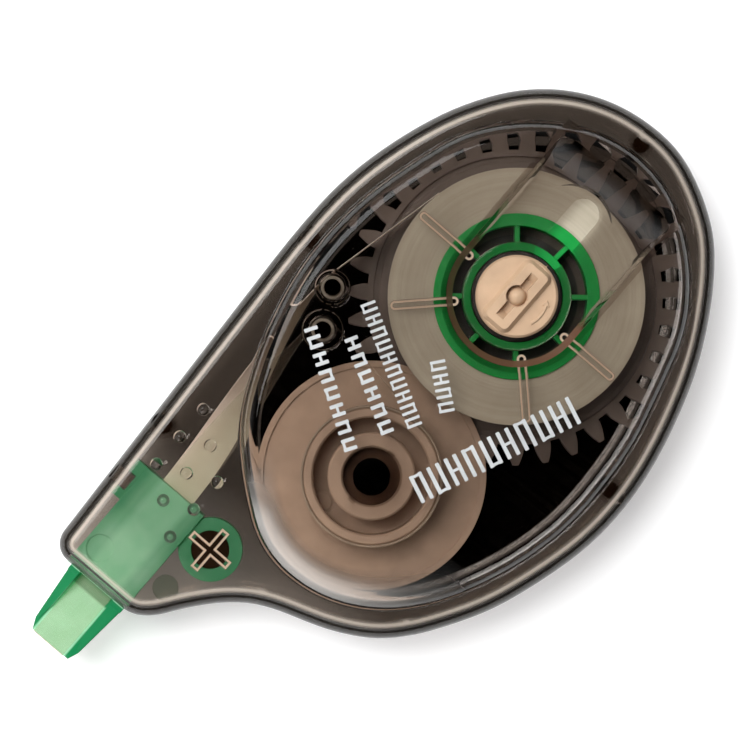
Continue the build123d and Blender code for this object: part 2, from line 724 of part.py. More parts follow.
def tip_head():
    """Applicator: an H-shaped tape channel that ends in a thin blade, with a ring to hold it."""
    y0, y1 = HEAD_Y
    z0, z1 = HEAD_Z
    body = block(MOUTH_X, HEAD_BACK_X, y0, y1, z0, z1)
    ears = block(EAR_START_X, HEAD_BACK_X, y1 - 1, EAR_END_Y, z0 + EAR_INSET, z1 - EAR_INSET)
    x0, x1, key_y, key_end_y = HEAD_KEY
    gap = KEY_CLEARANCE
    ears -= block(x0 - gap, x1 + gap, key_y - gap, key_end_y, 0, TOP_Z)
    ring = disc(RING_RADIUS, RING_CENTRE, *RING_Z)
    head = body + ears + ring - disc(RING_BORE, RING_CENTRE, 0, TOP_Z)
    y_low, y_high = TIP_MID_Y - CHANNEL_HALF, TIP_MID_Y + CHANNEL_HALF
    skin = HEAD_SKIN
    for low, high in (
        (z0 + skin, TIP_MID_Z - PLATEN_HALF),
        (TIP_MID_Z + PLATEN_HALF, z1 - skin),
    ):
        head -= block(MOUTH_X - 1, HEAD_BACK_X + 1, y_low, y_high, low, high)
    head += tip_blade()
    for low_y, high_y in COLLARS_Y:
        head += block(COLLAR_START_X, MOUTH_X + EMBED, low_y, high_y, z0, z1)
    for rib in tip_ribs():
        head += rib
    return head - disc(HEAD_MARK_RADIUS, HEAD_MARK, z1 - HEAD_MARK_DEPTH, z1 + 1)


def blade_section(back_x):
    """Side view of the blade: flat, then thinning to a round edge."""
    root, slim, edge = PLATEN_HALF, BLADE_SLIM_HALF, BLADE_EDGE_HALF
    upper_root = (back_x, TIP_MID_Z + root)
    lower_root = (back_x, TIP_MID_Z - root)
    upper_edge = (TIP_X + edge, TIP_MID_Z + edge)
    lower_edge = (TIP_X + edge, TIP_MID_Z - edge)
    bottom = Polyline(
        lower_root, (MOUTH_X, TIP_MID_Z - root), (BLADE_SLIM_X, TIP_MID_Z - slim), lower_edge
    )
    top = Polyline(
        upper_edge, (BLADE_SLIM_X, TIP_MID_Z + slim), (MOUTH_X, TIP_MID_Z + root), upper_root
    )
    nose = ThreePointArc(lower_edge, (TIP_X, TIP_MID_Z), upper_edge)
    return make_face(Wire([*bottom.edges(), nose, *top.edges(), Line(upper_root, lower_root)]))


def tip_blade():
    """Flat blade that thins towards a rounded edge."""
    blank = extrude(Plane.XZ * blade_section(BLADE_ROOT_X), amount=40, both=True)
    plan = make_face(
        Polyline(
            (BLADE_ROOT_X, 10.3),
            (GUIDE_START_X, 10.3),
            (GUIDE_END_X, 10.85),
            (TIP_X, 11.35),
            (TIP_X, 16.4),
            (GUIDE_END_X, 17.0),
            (GUIDE_START_X, 17.75),
            (BLADE_ROOT_X, 17.75),
            close=True,
        )
    )
    return blank & slab(plan, 0, TOP_Z)


def tip_ribs():
    """Side guides on both faces of the blade, tall at the case and low at the edge."""
    tall, low = GUIDE_HALF_HEIGHT, GUIDE_END_HALF_HEIGHT
    rise = Polyline(
        (BLADE_ROOT_X, TIP_MID_Z - tall),
        (GUIDE_START_X, TIP_MID_Z - tall),
        (GUIDE_END_X, TIP_MID_Z - low),
        (GUIDE_END_X, TIP_MID_Z + low),
        (GUIDE_START_X, TIP_MID_Z + tall),
        (BLADE_ROOT_X, TIP_MID_Z + tall),
        close=True,
    )
    wedge = extrude(Plane.XZ * make_face(rise), amount=60, both=True)
    inner_bend_x = -58.5
    upper = Polyline(
        (BLADE_ROOT_X, 16.45),
        (inner_bend_x, 16.4),
        (GUIDE_END_X, 16.62),
        (GUIDE_END_X, 16.95),
        (GUIDE_START_X, 17.7),
        (BLADE_ROOT_X, 17.7),
        close=True,
    )
    lower = Polyline(
        (BLADE_ROOT_X, 11.75),
        (inner_bend_x, 11.75),
        (GUIDE_END_X, 11.25),
        (GUIDE_END_X, 10.9),
        (GUIDE_START_X, 10.35),
        (BLADE_ROOT_X, 10.35),
        close=True,
    )
    return [wedge & slab(make_face(outline), 0, TOP_Z) for outline in (upper, lower)]


# ---------------------------------------------------------------- tape between the reels
FEED_Z = TIP_MID_Z - PLATEN_HALF - STRIP_GAP - STRIP_THICKNESS / 2
RETURN_Z = TIP_MID_Z + PLATEN_HALF + STRIP_GAP + STRIP_THICKNESS / 2
TWIST_END_X = -41.0
TWIST_STEPS = 8
TWIST_TURN = -90
BEND_STEPS = 6
STRIP_HALF = STRIP_THICKNESS / 2


def outer_tangent(centre_a, radius_a, centre_b, radius_b, left):
    """Where a straight line touches two circles on the same side of the way from a to b."""
    a, b = Vector(*centre_a), Vector(*centre_b)
    way = b - a
    bearing = math.degrees(math.atan2(way.Y, way.X))
    lean = math.degrees(math.acos((radius_a - radius_b) / way.length))
    normal = bearing + (lean if left else -lean)
    return a + polar(radius_a, normal), b + polar(radius_b, normal), normal


def strip_plate(p, q, low, high):
    """Straight upright piece of tape from p to q."""
    way = q - p
    heading = math.degrees(math.atan2(way.Y, way.X))
    plate = block(0, way.length, -STRIP_HALF, STRIP_HALF, low, high)
    return Pos(p.X, p.Y, 0) * Rot(0, 0, heading) * plate


def strip_bend(centre, radius, from_angle, to_angle):
    """Upright piece of tape that bends round a guide, drawn by its middle radius."""
    step = (to_angle - from_angle) / BEND_STEPS
    fan = [polar(radius * 3, from_angle + step * k) for k in range(BEND_STEPS + 1)]
    sector = slab(make_face(Polyline((0, 0), *fan, close=True)), TAPE_Z - 1, TAPE_TOP_Z + 1)
    ring = tube(radius + STRIP_HALF, radius - STRIP_HALF, (0, 0), TAPE_Z, TAPE_TOP_Z)
    return Pos(centre[0], centre[1], 0) * (ring & sector)


def twisted_strip(start, start_z, end, end_z, turn):
    """Tape that turns from standing at start to lying at end, as a stack of ruled sections."""
    sections = []
    for k in range(TWIST_STEPS + 1):
        share = k / TWIST_STEPS
        smooth = share * share * (3 - 2 * share)
        x = start.X + (end.X - start.X) * share
        y = start.Y + (end.Y - start.Y) * smooth
        z = start_z + (end_z - start_z) * smooth
        plane = Plane(origin=(x, y, z), x_dir=(0, 1, 0), z_dir=(1, 0, 0))
        shape = Rot(0, 0, 90 + turn * smooth) * Rectangle(TAPE_WIDTH, STRIP_THICKNESS)
        sections.append(plane * shape)
    return loft(sections)


def lying_strip(low, high):
    """Tape that lies against the platen and blade, for the half of the loop between low and high."""
    section = blade_section(TWIST_END_X + 2)
    sleeve = offset(section, STRIP_GAP + STRIP_THICKNESS) - offset(section, STRIP_GAP)
    band = extrude(Plane.XZ * sleeve, amount=40, both=True)
    y = TIP_MID_Y
    half = TAPE_WIDTH / 2
    return band & block(TIP_X - 1, TWIST_END_X, y - half, y + half, low, high)


SLEEVE_STRIP_RADIUS = SLEEVE_RADIUS + STRIP_GAP + STRIP_HALF
ROLL_STRIP_RADIUS = ROLL_RADIUS + STRIP_GAP + STRIP_HALF
FILM_STRIP_RADIUS = FILM_RADIUS + STRIP_GAP + STRIP_HALF


def tape_feed_run():
    """Fresh tape from the supply roll over the upper sleeve and under the blade."""
    on_roll, on_sleeve, lean = outer_tangent(
        (0, 0), ROLL_STRIP_RADIUS, UPPER_GUIDE, SLEEVE_STRIP_RADIUS, left=False
    )
    run = strip_plate(on_roll, on_sleeve, TAPE_Z, TAPE_TOP_Z)
    run += strip_bend(UPPER_GUIDE, SLEEVE_STRIP_RADIUS, lean, 90)
    top = Vector(*UPPER_GUIDE) + polar(SLEEVE_STRIP_RADIUS, 90)
    end = Vector(TWIST_END_X, TIP_MID_Y)
    run += twisted_strip(top, TAPE_MID_Z, end, FEED_Z, TWIST_TURN)
    return run + lying_strip(0, TIP_MID_Z - STRIP_GAP)


def tape_return_run():
    """Spent film from the blade over the lower sleeve and down to the take-up drum."""
    on_sleeve, on_drum, lean = outer_tangent(
        LOWER_GUIDE, SLEEVE_STRIP_RADIUS, TAKE_UP, FILM_STRIP_RADIUS, left=True
    )
    run = strip_plate(on_sleeve, on_drum, TAPE_Z, TAPE_TOP_Z)
    run += strip_bend(LOWER_GUIDE, SLEEVE_STRIP_RADIUS, lean, 90)
    top = Vector(*LOWER_GUIDE) + polar(SLEEVE_STRIP_RADIUS, 90)
    end = Vector(TWIST_END_X, TIP_MID_Y)
    run += twisted_strip(top, TAPE_MID_Z, end, RETURN_Z, TWIST_TURN)
    return run + lying_strip(TIP_MID_Z + STRIP_GAP, TOP_Z)


PARTS = {
    "front_cover": front_cover,
    "back_cover": back_cover,
    "back_label": back_label,
    "drive_gear": drive_gear,
    "tension_knob": tension_knob,
    "clutch_ring": clutch_ring,
    "supply_core": supply_core,
    "supply_tape_roll": supply_tape_roll,
    "take_up_reel": take_up_reel,
    "take_up_gear": take_up_gear,
    "take_up_film_roll": take_up_film_roll,
    "upper_guide_sleeve": lambda: guide_sleeve(UPPER_GUIDE),
    "lower_guide_sleeve": lambda: guide_sleeve(LOWER_GUIDE),
    "tip_head": tip_head,
    "tape_feed_run": tape_feed_run,
    "tape_return_run": tape_return_run,
}

os.makedirs("parts", exist_ok=True)
for name, build in PARTS.items():
    export_step(build(), f"parts/{name}.step")
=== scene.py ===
import json
import math

import bpy
import bmesh
from mathutils import Matrix, Vector


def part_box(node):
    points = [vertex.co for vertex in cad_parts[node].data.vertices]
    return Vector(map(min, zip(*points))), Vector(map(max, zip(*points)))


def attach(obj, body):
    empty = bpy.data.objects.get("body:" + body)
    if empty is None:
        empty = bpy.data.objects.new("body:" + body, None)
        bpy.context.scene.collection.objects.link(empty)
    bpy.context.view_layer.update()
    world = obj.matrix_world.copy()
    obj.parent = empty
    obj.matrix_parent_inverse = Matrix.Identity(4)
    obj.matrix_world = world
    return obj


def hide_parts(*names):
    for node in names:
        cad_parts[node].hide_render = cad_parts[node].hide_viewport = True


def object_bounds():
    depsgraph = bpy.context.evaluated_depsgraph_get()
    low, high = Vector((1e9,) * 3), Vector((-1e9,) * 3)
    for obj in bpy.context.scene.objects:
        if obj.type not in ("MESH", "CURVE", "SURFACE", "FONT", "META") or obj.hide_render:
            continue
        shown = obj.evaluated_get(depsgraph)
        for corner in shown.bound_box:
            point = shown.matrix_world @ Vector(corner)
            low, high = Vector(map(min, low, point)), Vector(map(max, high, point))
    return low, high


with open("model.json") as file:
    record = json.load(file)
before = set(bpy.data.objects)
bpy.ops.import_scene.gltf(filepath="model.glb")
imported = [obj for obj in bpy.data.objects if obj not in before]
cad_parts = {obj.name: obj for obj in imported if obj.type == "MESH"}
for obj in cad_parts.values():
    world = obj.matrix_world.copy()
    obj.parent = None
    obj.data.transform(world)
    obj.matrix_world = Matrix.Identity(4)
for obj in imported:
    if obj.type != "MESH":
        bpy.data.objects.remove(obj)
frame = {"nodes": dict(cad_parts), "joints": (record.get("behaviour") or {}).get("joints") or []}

# Correction tape roller, lying flat with its front cover up. Metres, in the CAD frame:
# origin on the supply reel's axis, +Z out through the front cover, tip towards -X.

MM = 0.001
CAD_BOX = [list(corner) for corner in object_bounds()]
NODES = frame["nodes"]
JOINT_AT = {j["child"]: Vector(j["pos_m"]) for j in frame["joints"]}


def mm(*values):
    return Vector(values) * MM


# ---------------------------------------------------------------- material helpers
class Tree:
    """Short names for making and linking the nodes of one material."""

    def __init__(self, name):
        self.material = bpy.data.materials.new(name)
        self.material.use_nodes = True
        self.nodes = self.material.node_tree.nodes
        self.links = self.material.node_tree.links
        self.nodes.clear()
        self.out = self.nodes.new("ShaderNodeOutputMaterial")

    def add(self, kind, values=None, **settings):
        node = self.nodes.new(kind)
        for key, value in settings.items():
            setattr(node, key, value)
        for key, value in (values or {}).items():
            self.put(node.inputs[key], value)
        return node

    def put(self, socket, value):
        if isinstance(value, bpy.types.NodeSocket):
            self.links.new(value, socket)
        else:
            socket.default_value = value

    def math(self, operation, a, b=0.0, clamp=False):
        node = self.add("ShaderNodeMath", {0: a, 1: b}, operation=operation)
        node.use_clamp = clamp
        return node.outputs[0]

    def product(self, *factors):
        result = factors[0]
        for factor in factors[1:]:
            result = self.math("MULTIPLY", result, factor)
        return result

    def vector(self, operation, a, b=(0.0, 0.0, 0.0)):
        return self.add("ShaderNodeVectorMath", {0: a, 1: b}, operation=operation).outputs[0]

    def place(self):
        return self.add("ShaderNodeTexCoord").outputs["Object"]

    def noise(self, scale, detail=3.0, roughness=0.5, place=None):
        values = {"Vector": place or self.place(), "Scale": scale}
        values.update({"Detail": detail, "Roughness": roughness})
        return self.add("ShaderNodeTexNoise", values).outputs["Fac"]

    def ramp(self, factor, low, high, low_value=0.0, high_value=1.0):
        values = {"Value": factor, "From Min": low, "From Max": high}
        values.update({"To Min": low_value, "To Max": high_value})
        return self.add("ShaderNodeMapRange", values).outputs["Result"]

    def blend(self, factor, a, b, mode="MIX"):
        node = self.add("ShaderNodeMix", data_type="RGBA", blend_type=mode)
        self.put(node.inputs[0], factor)
        self.put(node.inputs[6], a)
        self.put(node.inputs[7], b)
        return node.outputs[2]

    def bump(self, height, strength, distance, normal=None):
        values = {"Height": height, "Strength": strength, "Distance": distance}
        node = self.add("ShaderNodeBump", values)
        if normal is not None:
            self.put(node.inputs["Normal"], normal)
        return node.outputs["Normal"]

    def principled(self, **values):
        names = {key.replace("_", " "): value for key, value in values.items()}
        return self.add("ShaderNodeBsdfPrincipled", names)

    def finish(self, surface, volume=None):
        self.links.new(surface, self.out.inputs["Surface"])
        if volume is not None:
            self.links.new(volume, self.out.inputs["Volume"])
        return self.material


def srgb(red, green, blue):
    """Colour from 0 to 255 screen values to the linear values that nodes take."""

    def linear(value):
        value /= 255
        return value / 12.92 if value <= 0.04045 else ((value + 0.055) / 1.055) ** 2.4

    return (linear(red), linear(green), linear(blue), 1.0)


EDGE_ROUND = 0.12 * MM
COLOUR_DRIFT = 0.12
# radius, softness and near-black colour of the painted shade inside the drive gear's bore
SHADED_BORE_RADIUS = 7.0 * MM
SHADED_BORE_SOFT = 0.2 * MM
BORE_SHADE_BLACK = (0.004, 0.004, 0.004, 1.0)


def soft_edges(tree, radius=EDGE_ROUND):
    return tree.add("ShaderNodeBevel", {"Radius": radius}, samples=4).outputs["Normal"]


def moulded(name, colour, roughness=0.35, grain=0.25, edge=EDGE_ROUND, sheen=0.5, shaded_bore=None):
    """Opaque injection-moulded plastic: faint colour drift, fine grain and worn, softened edges.

    Given a bore radius about the supply axis, the plastic inside it is painted nearly black as
    shade.
    """
    t = Tree(name)
    drift = t.noise(350, 4)
    light = [min(1.0, c * (1 + COLOUR_DRIFT)) for c in colour[:3]] + [1.0]
    dark = [c * (1 - COLOUR_DRIFT) for c in colour[:3]] + [1.0]
    tint = t.blend(t.ramp(drift, 0.3, 0.7), dark, light)
    # painted shade: nearly black inside the given radius about the supply axis, where the gear's
    # web lies in shade between its spokes
    if shaded_bore:
        radius = radius_about(t, JOINT_AT["drive"])[0]
        tint = t.blend(t.ramp(radius, shaded_bore - SHADED_BORE_SOFT, shaded_bore, 0.85, 0.0), tint, BORE_SHADE_BLACK)
    grain_noise = t.noise(9000, 2)
    normal = t.bump(grain_noise, grain, 0.01 * MM, soft_edges(t, edge))
    rough = t.ramp(t.noise(1800, 3), 0.3, 0.7, roughness * 0.8, min(1.0, roughness * 1.25))
    shader = t.principled(
        Base_Color=tint,
        Roughness=rough,
        Normal=normal,
        Specular_IOR_Level=sheen,
    )
    return t.finish(shader.outputs[0])


def radius_about(t, centre):
    """Distance from a vertical axis through centre, in the object's own frame."""
    parts = t.add("ShaderNodeSeparateXYZ", {"Vector": t.place()})
    dx = t.math("SUBTRACT", parts.outputs["X"], centre.x)
    dy = t.math("SUBTRACT", parts.outputs["Y"], centre.y)
    radius = t.math("SQRT", t.math("ADD", t.math("MULTIPLY", dx, dx), t.math("MULTIPLY", dy, dy)))
    return radius, parts.outputs["X"], parts.outputs["Y"], parts.outputs["Z"]


def band(t, value, low, high, soft):
    """1 between low and high, with soft edges."""
    rise = t.ramp(value, low - soft, low + soft)
    fall = t.ramp(value, high - soft, high + soft, 1.0, 0.0)
    return t.product(rise, fall)


def clear_surface(t, tint, roughness, ior, ripple):
    """Polished, slightly rippled clear surface with a few fine scratches."""
    waves = t.noise(220, 2)
    fine = t.noise(5200, 3)
    height = t.math("ADD", waves, t.math("MULTIPLY", fine, 0.04))
    normal = t.bump(height, ripple, 0.02 * MM)
    stretch = {"Vector": t.place(), "Scale": (1.0, 14.0, 1.0), "Rotation": (0, 0, 0.6)}
    turned = t.add("ShaderNodeMapping", stretch)
    hair = t.noise(700, 6, 0.7, turned.outputs[0])
    rough = t.ramp(hair, 0.62, 0.8, roughness, roughness + 0.16)
    return t.principled(
        Base_Color=tint, Roughness=rough, IOR=ior, Transmission_Weight=1.0, Normal=normal
    ).outputs[0]


def lit_through(t, surface, clearness):
    """Lets the light for what lies inside pass straight through, so that it has no noise."""
    path = t.add("ShaderNodeLightPath")
    grey = t.add("ShaderNodeCombineColor", dict.fromkeys(("Red", "Green", "Blue"), clearness))
    straight = t.add("ShaderNodeBsdfTransparent", {"Color": grey.outputs[0]})
    passes = t.math("MAXIMUM", path.outputs["Is Shadow Ray"], path.outputs["Is Diffuse Ray"])
    return t.add("ShaderNodeMixShader", {0: passes, 1: surface, 2: straight.outputs[0]}).outputs[0]


def surface_tilt(t):
    """How upright the surface's normal is in the object's frame: 1 facing up, 0 on a wall."""
    normal = t.add("ShaderNodeTexCoord").outputs["Normal"]
    return t.math("ABSOLUTE", t.add("ShaderNodeSeparateXYZ", {"Vector": normal}).outputs["Z"])


def plain(t, colour, roughness):
    return t.principled(
        Base_Color=(*colour, 1.0), Roughness=roughness, Specular_IOR_Level=0.4
    ).outputs[0]


def over(t, factor, below, above):
    return t.add("ShaderNodeMixShader", {0: factor, 1: below, 2: above}).outputs[0]


def crowned_margin(t, surface, x, y, z, reach):
    """Crowned margin of the plateau past the take-up reel, which mirrors a low soft light."""
    axis = JOINT_AT["take_up"]
    away = t.vector("SUBTRACT", t.place(), (axis.x, axis.y, 0.0))
    outward = t.vector("NORMALIZE", t.vector("MULTIPLY", away, (1.0, 1.0, 0.0)))
    on_top = t.ramp(z, TOP_Z - 0.95 * MM, TOP_Z - 0.9 * MM)
    beside_reel = t.product(t.ramp(x, -26 * MM, -35 * MM), t.ramp(y, 10 * MM, 5 * MM))
    crown = t.product(t.ramp(reach, CROWN_IN, CROWN_OUT), beside_reel, on_top)
    steepness = {0: outward, "Scale": t.product(crown, CROWN_LEAN)}
    lean = t.add("ShaderNodeVectorMath", steepness, operation="SCALE").outputs[0]
    normal = t.vector("NORMALIZE", t.vector("ADD", lean, (0.0, 0.0, 1.0)))
    gloss = {"Color": (1.0, 0.97, 0.93, 1.0), "Roughness": 0.3, "Normal": normal}
    sheen = t.add("ShaderNodeBsdfGlossy", gloss).outputs[0]
    return over(t, t.product(t.ramp(crown, 0.0, 0.3), CROWN_SHEEN), surface, sheen)


def rim_painted_shade_and_highlight(t, surface, tilt, z, radius, reach):
    """Painted shade that darkens the walls as if seen through their depth, and a pale painted
    highlight where the shoulder rounds over to them.
    """
    below_rim = t.ramp(z, SHOULDER_Z - 0.25 * MM, SHOULDER_Z - 0.4 * MM)
    # painted shade: the walls below the shoulder are covered in dark brown
    wall_shade = t.product(t.ramp(tilt, *WALL_TILT), below_rim, WALL_SHADE_AMOUNT)
    surface = over(t, wall_shade, surface, plain(t, WALL_SHADE_BROWN, 0.15))
    on_rim = band(t, z, SHOULDER_Z - 0.55 * MM, SHOULDER_Z + 0.005 * MM, 0.004 * MM)
    rounded = t.product(t.ramp(tilt, 0.88, 0.955), t.ramp(tilt, 0.97, 0.996, 1.0, 0.0))
    off_supply = t.ramp(radius, 19.2 * MM, 19.6 * MM)
    off_take_up = t.ramp(reach, 14.3 * MM, 14.6 * MM)
    # painted highlight: a pale line along the rounded edge of the shoulder
    painted_highlight = t.product(on_rim, rounded, off_supply, off_take_up, 0.6)
    return over(t, painted_highlight, surface, plain(t, (0.60, 0.52, 0.44), 0.3))


def dot_and_flare_painted_shade(t, surface, tilt, x, z, radius):
    """Painted shade: dark on the flanks of the grip dots, and dark brown on the flared wall of the
    thumb recess.
    """
    above_shoulder = t.ramp(z, SHOULDER_Z + 0.01 * MM, SHOULDER_Z + 0.03 * MM)
    beside_head = t.ramp(x, -39.5 * MM, -40.5 * MM)
    # painted shade on the steep flanks of the grip dots
    flank_shade = t.product(above_shoulder, beside_head, t.ramp(tilt, 0.93, 0.8), 0.65)
    surface = over(t, flank_shade, surface, plain(t, (0.03, 0.026, 0.022), 0.15))
    ring = band(t, radius, *FLARE_RADII, 0.08 * MM)
    off_channel = t.ramp(x, 1.5 * MM, 3.5 * MM, 1.0, 0.0)
    # painted shade: dark brown on the flared wall of the thumb recess around the knob
    flare_shade = t.product(ring, t.ramp(tilt, 0.97, 0.9), off_channel, 0.88)
    return over(t, flare_shade, surface, plain(t, (0.15, 0.060, 0.038), 0.35))


def rib_feet_painted_glow(t, surface, tilt, z, radius):
    """Feet of the presser ribs and of the cross: a pale painted highlight with a faint painted
    glow, standing in for light led down the ribs.
    """
    at_foot = band(t, z, 10.0 * MM, 10.4 * MM, 0.02 * MM)
    presser = t.product(at_foot, t.ramp(radius, 15 * MM, 14.5 * MM))
    cross = band(t, z, 8.87 * MM, 9.12 * MM, 0.02 * MM)
    level = t.ramp(tilt, 0.3, 0.8)
    # painted highlight and painted glow: pale colour that also gives off a little light
    painted_glow = t.principled(
        Base_Color=(0.98, 0.80, 0.60, 1.0),
        Roughness=0.4,
        Emission_Color=(1.0, 0.86, 0.70, 1.0),
        Emission_Strength=0.3,
    ).outputs[0]
    feet = t.product(t.math("MAXIMUM", presser, cross), level, 0.85)
    surface = over(t, feet, surface, painted_glow)
    pad = t.product(band(t, z, 8.7 * MM, 8.85 * MM, 0.01 * MM), level, 0.3)
    return over(t, pad, surface, plain(t, (0.06, 0.20, 0.11), 0.4))


def smoke_front(name, absorb, density):
    """Clear smoke plastic of the front cover, tinted by the thickness that light goes through, with
    painted shade and painted highlights on its rim, dots, recess and rib feet.
    """
    t = Tree(name)
    radius, x, y, z = radius_about(t, HUB)
    reach = radius_about(t, JOINT_AT["take_up"])[0]
    tilt = surface_tilt(t)
    surface = clear_surface(t, (0.985, 0.98, 0.97, 1.0), 0.02, PLASTIC_IOR, 0.03)
    surface = crowned_margin(t, surface, x, y, z, reach)
    surface = rim_painted_shade_and_highlight(t, surface, tilt, z, radius, reach)
    surface = dot_and_flare_painted_shade(t, surface, tilt, x, z, radius)
    surface = rib_feet_painted_glow(t, surface, tilt, z, radius)
    volume = t.add("ShaderNodeVolumeAbsorption", {"Color": (*absorb, 1.0), "Density": density})
    clearness = t.ramp(x, -26 * MM, -32 * MM, 0.83, 0.95)
    return t.finish(lit_through(t, surface, clearness), volume.outputs[0])


def smoke_back(name, absorb, density):
    """Smoke plastic of the back cover, with painted shade that darkens it towards the round end and
    on its walls.
    """
    t = Tree(name)
    x = t.add("ShaderNodeSeparateXYZ", {"Vector": t.place()}).outputs["X"]
    # painted shade: the tint darkens from the head towards the round end
    painted_shade = t.ramp(x, -47 * MM, -36 * MM)
    tint = t.blend(painted_shade, (0.70, 0.69, 0.67, 1.0), (0.17, 0.155, 0.14, 1.0))
    surface = clear_surface(t, tint, 0.02, PLASTIC_IOR, 0.03)
    # painted shade: dark brown on the walls
    wall_shade = t.product(t.ramp(surface_tilt(t), *WALL_TILT), WALL_SHADE_AMOUNT)
    surface = over(t, wall_shade, surface, plain(t, WALL_SHADE_BROWN, 0.15))
    volume = t.add("ShaderNodeVolumeAbsorption", {"Color": (*absorb, 1.0), "Density": density})
    return t.finish(lit_through(t, surface, 0.6), volume.outputs[0])


def milky_green(name):
    """Translucent green plastic: cloudy and pale on its plates, deep green along its guides, with
    painted shade at the root of the blade.
    """
    t = Tree(name)
    parts = t.add("ShaderNodeSeparateXYZ", {"Vector": t.place()})
    x = parts.outputs["X"]
    aside = t.math("ABSOLUTE", t.math("SUBTRACT", parts.outputs["Y"], HEAD_Y))
    outside = t.ramp(x, BLADE_ROOT_X, BLADE_ROOT_X - 0.1 * MM)
    guides = t.product(outside, t.ramp(aside, 2.2 * MM, 2.4 * MM))
    # painted shade: a dark green strip on the blade just outside the mouth of the head
    root_shade = t.product(outside, t.ramp(x, *BLADE_ROOT_SPAN))
    sides = t.ramp(aside, 1.8 * MM, 2.6 * MM, 0.0, 0.3)
    sides = t.math("ADD", sides, t.ramp(aside, 3.0 * MM, 3.9 * MM, 0.0, 0.25))
    sides = t.math("ADD", sides, t.ramp(x, -48 * MM, -45 * MM, 0.0, 0.3))
    blade = t.product(outside, 0.12)
    deep = t.math("MAXIMUM", t.math("MAXIMUM", guides, root_shade), t.math("MAXIMUM", sides, blade))
    cloud = t.ramp(t.noise(420, 3), 0.3, 0.7)
    pale = t.blend(cloud, (0.38, 0.80, 0.50, 1.0), (0.50, 0.90, 0.62, 1.0))
    colour = t.blend(deep, pale, (0.004, 0.24, 0.08, 1.0))
    clear = clear_surface(t, (0.45, 0.93, 0.62, 1.0), 0.12, PLASTIC_IOR, 0.2)
    normal = t.bump(t.noise(5200, 3), 0.15, 0.01 * MM, soft_edges(t, 0.15 * MM))
    body = t.principled(Base_Color=colour, Roughness=0.3, Normal=normal, Specular_IOR_Level=0.5)
    glow = t.blend(deep, (0.14, 0.62, 0.32, 1.0), (0.0, 0.35, 0.12, 1.0))
    through = t.add("ShaderNodeBsdfTranslucent", {"Color": glow, "Normal": normal})
    cloudy = t.add("ShaderNodeMixShader", {0: 0.18, 1: body.outputs[0], 2: through.outputs[0]})
    both = t.add("ShaderNodeMixShader", {0: 0.86, 1: clear, 2: cloudy.outputs[0]}).outputs[0]
    path = t.add("ShaderNodeLightPath")
    straight = t.add("ShaderNodeBsdfTransparent", {"Color": (0.30, 0.80, 0.45, 1.0)})
    half = t.product(path.outputs["Is Shadow Ray"], 0.6)
    surface = t.add("ShaderNodeMixShader", {0: half, 1: both, 2: straight.outputs[0]})
    return t.finish(surface.outputs[0])


# ---------------------------------------------------------------- materials
HUB = JOINT_AT["drive"]
TOP_Z = CAD_BOX[1][2]
SHOULDER_Z = TOP_Z - 2.4 * MM
PLASTIC_IOR = 1.49
# painted shade on the covers' walls: its dark brown, the tilts where it sets in and its full
# strength
WALL_SHADE_BROWN = (0.036, 0.031, 0.026)
WALL_TILT = (0.86, 0.66)
WALL_SHADE_AMOUNT = 0.8
# radii of the painted shade on the flared wall of the thumb recess
FLARE_RADII = (6.95 * MM, 7.85 * MM)
CROWN_IN, CROWN_OUT = 9.9 * MM, 13.8 * MM
CROWN_LEAN = 0.75
CROWN_SHEEN = 0.4
HEAD_Y = 14.1 * MM
HEAD_Z = 7.2 * MM
BLADE_ROOT_X = -53.7 * MM
BLADE_ROOT_SPAN = (BLADE_ROOT_X - 1.5 * MM, BLADE_ROOT_X - 1.2 * MM)
SMOKE = smoke_front("smoke_clear", (0.333, 0.217, 0.15), 300.0)
SMOKE_BACK = smoke_back("smoke_clear_back", (0.404, 0.216, 0.04), 500.0)
GREEN_CLEAR = milky_green("green_clear")
BEIGE = moulded("beige_moulded", srgb(190, 160, 131), roughness=0.42)
TAKE_UP = moulded("take_up_moulded", srgb(180, 154, 132), roughness=0.45)
WOUND_FILM = moulded("wound_film", srgb(158, 140, 120), roughness=0.4, grain=0.5)
# the dark taupe gears, with painted shade in the drive gear's bore
TAUPE = moulded("dark_taupe_moulded", srgb(92, 80, 72), roughness=0.42, shaded_bore=SHADED_BORE_RADIUS)
GREEN = moulded("green_moulded", srgb(4, 146, 58), roughness=0.35)
BLACK = moulded("black_label_film", srgb(50, 48, 46), roughness=0.5, grain=0.1, sheen=0.2)
RUBBER = moulded("black_rubber", srgb(26, 26, 26), roughness=0.7)
SLEEVE = moulded("natural_sleeve", srgb(176, 168, 152), roughness=0.25)
PRINT = moulded("white_print", srgb(188, 191, 192), roughness=0.55, grain=0.1, edge=0.02 * MM)


def wound_tape():
    """End face of the wound tape: fine rings of film edges, with a slightly uneven wind."""
    t = Tree("wound_tape")
    parts = t.add("ShaderNodeSeparateXYZ", {"Vector": t.place()})
    x, y = parts.outputs["X"], parts.outputs["Y"]
    radius = t.math("SQRT", t.math("ADD", t.math("MULTIPLY", x, x), t.math("MULTIPLY", y, y)))
    rings_place = t.add("ShaderNodeCombineXYZ", {"X": radius}).outputs[0]
    coarse = t.noise(1400, 4, 0.6, rings_place)
    fine = t.noise(9000, 2, 0.5, rings_place)
    cloud = t.noise(260, 3)
    tone = t.math("ADD", t.math("MULTIPLY", coarse, 0.6), t.math("MULTIPLY", cloud, 0.4))
    colour = t.blend(t.ramp(tone, 0.35, 0.65), srgb(170, 160, 140), srgb(192, 183, 163))
    height = t.math("ADD", t.math("MULTIPLY", fine, 0.5), t.math("MULTIPLY", coarse, 0.5))
    normal = t.bump(height, 0.35, 0.03 * MM)
    shader = t.principled(Base_Color=colour, Roughness=0.55, Normal=normal, Anisotropic=0.5)
    return t.finish(shader.outputs[0])


